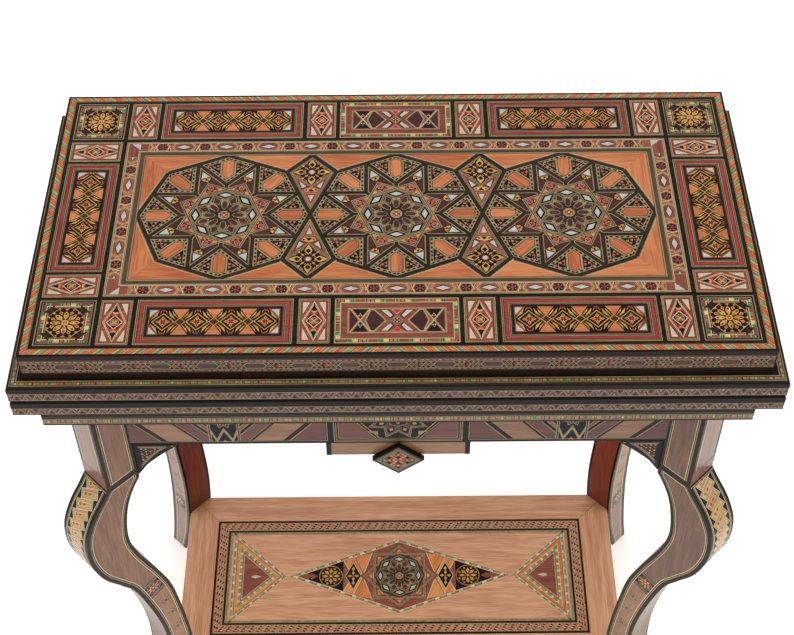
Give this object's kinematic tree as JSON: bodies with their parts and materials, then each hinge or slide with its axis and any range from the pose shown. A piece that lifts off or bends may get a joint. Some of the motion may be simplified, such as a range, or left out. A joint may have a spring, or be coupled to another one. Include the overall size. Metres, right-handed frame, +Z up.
{
  "type": "folding games table",
  "caption": "Inlaid folding games table: a box-like top that swivels and unfolds to a baize-lined square, on scrolled corner legs with a low inlaid shelf.",
  "frame": {"origin": "on the floor under the middle of the closed table", "axes": "+Z up, X along the length of the closed top, the front faces -Y and the leaf hinges are at the back"},
  "size_m": [0.712, 0.388, 0.785],
  "materials": {
    "ebonised_wood": "lacquered",
    "walnut": "lacquered",
    "salmon_wood": "lacquered",
    "marquetry": "lacquered wood and shell mosaic",
    "plain_wood": "bare",
    "baize": "wool felt",
    "brass": "polished",
    "steel": "plain"
  },
  "bodies": {
    "stand": {"back_apron": "marquetry", "back_bracket_a": "marquetry", "back_bracket_b": "marquetry", "back_drop_block": "salmon_wood", "back_left_leg": "walnut", "back_pendant": "marquetry", "back_right_leg": "walnut", "front_apron": "marquetry", "front_bracket_a": "marquetry", "front_bracket_b": "marquetry", "front_drop_block": "salmon_wood", "front_left_leg": "walnut", "front_pendant": "marquetry", "front_right_leg": "walnut", "left_apron": "marquetry", "left_bracket_a": "marquetry", "left_bracket_b": "marquetry", "pivot_rail": "plain_wood", "right_apron": "marquetry", "right_bracket_a": "marquetry", "right_bracket_b": "marquetry", "shelf_back_rail": "salmon_wood", "shelf_front_rail": "salmon_wood", "shelf_inlaid_panel": "marquetry", "shelf_left_rail": "salmon_wood", "shelf_right_rail": "salmon_wood", "well_floor": "plain_wood"},
    "lower_leaf": {"left_hinge_lower_leaf": "brass", "left_hinge_pin": "steel", "lower_baize": "baize", "lower_playing_panel": "plain_wood", "lower_rim_back": "ebonised_wood", "lower_rim_front": "ebonised_wood", "lower_rim_left": "ebonised_wood", "lower_rim_right": "ebonised_wood", "lower_slab_board": "ebonised_wood", "lower_slab_frame": "marquetry", "pivot_bolt": "steel", "pivot_nut": "steel", "pivot_washer": "steel", "right_hinge_lower_leaf": "brass", "right_hinge_pin": "steel"},
    "upper_leaf": {"left_hinge_upper_leaf": "brass", "right_hinge_upper_leaf": "brass", "upper_baize": "baize", "upper_inlaid_veneer": "marquetry", "upper_playing_panel": "plain_wood", "upper_rim_back": "ebonised_wood", "upper_rim_front": "ebonised_wood", "upper_rim_left": "ebonised_wood", "upper_rim_right": "ebonised_wood", "upper_slab_board": "plain_wood", "upper_slab_frame": "marquetry"}
  },
  "joints": [
    {"name": "top_swivel", "type": "hinge", "parent": "stand", "child": "lower_leaf", "pos_m": [0.093, 0.093, 0.677], "axis": [0, 0, 1], "range_deg": [0, 90]},
    {"name": "leaf_unfold", "type": "hinge", "parent": "lower_leaf", "child": "upper_leaf", "pos_m": [0, 0.1862, 0.731], "axis": [-1, 0, 0], "range_deg": [0, 180]}
  ]
}
